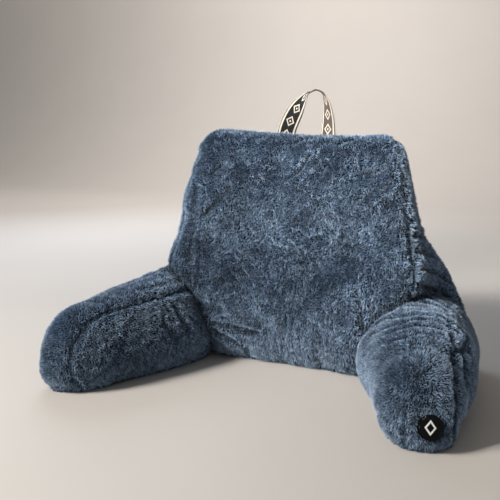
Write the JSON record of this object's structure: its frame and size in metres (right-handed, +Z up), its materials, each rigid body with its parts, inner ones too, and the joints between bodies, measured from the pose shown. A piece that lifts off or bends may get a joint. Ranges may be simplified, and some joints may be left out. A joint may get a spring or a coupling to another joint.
{
  "type": "reading pillow",
  "caption": "Stuffed reading pillow with a tall sloping back, padded arms at its sides, a webbing carry handle in the top seam and a round badge on one arm's tip.",
  "frame": {"origin": "on the floor, under the middle of the pillow's outline", "axes": "+Z up, -Y the front that the sitter leans on, +X to the right as seen from the front"},
  "size_m": [0.7558, 0.51, 0.5404],
  "materials": {
    "plush": "short dense plush, slate blue",
    "webbing": "woven webbing, black with pale edge stripes",
    "badge": "matt black with a stitched rim"
  },
  "bodies": {
    "root": {"backrest": "plush", "arm_left": "plush", "arm_right": "plush", "carry_handle": "webbing", "round_patch": "badge"}
  },
  "joints": []
}
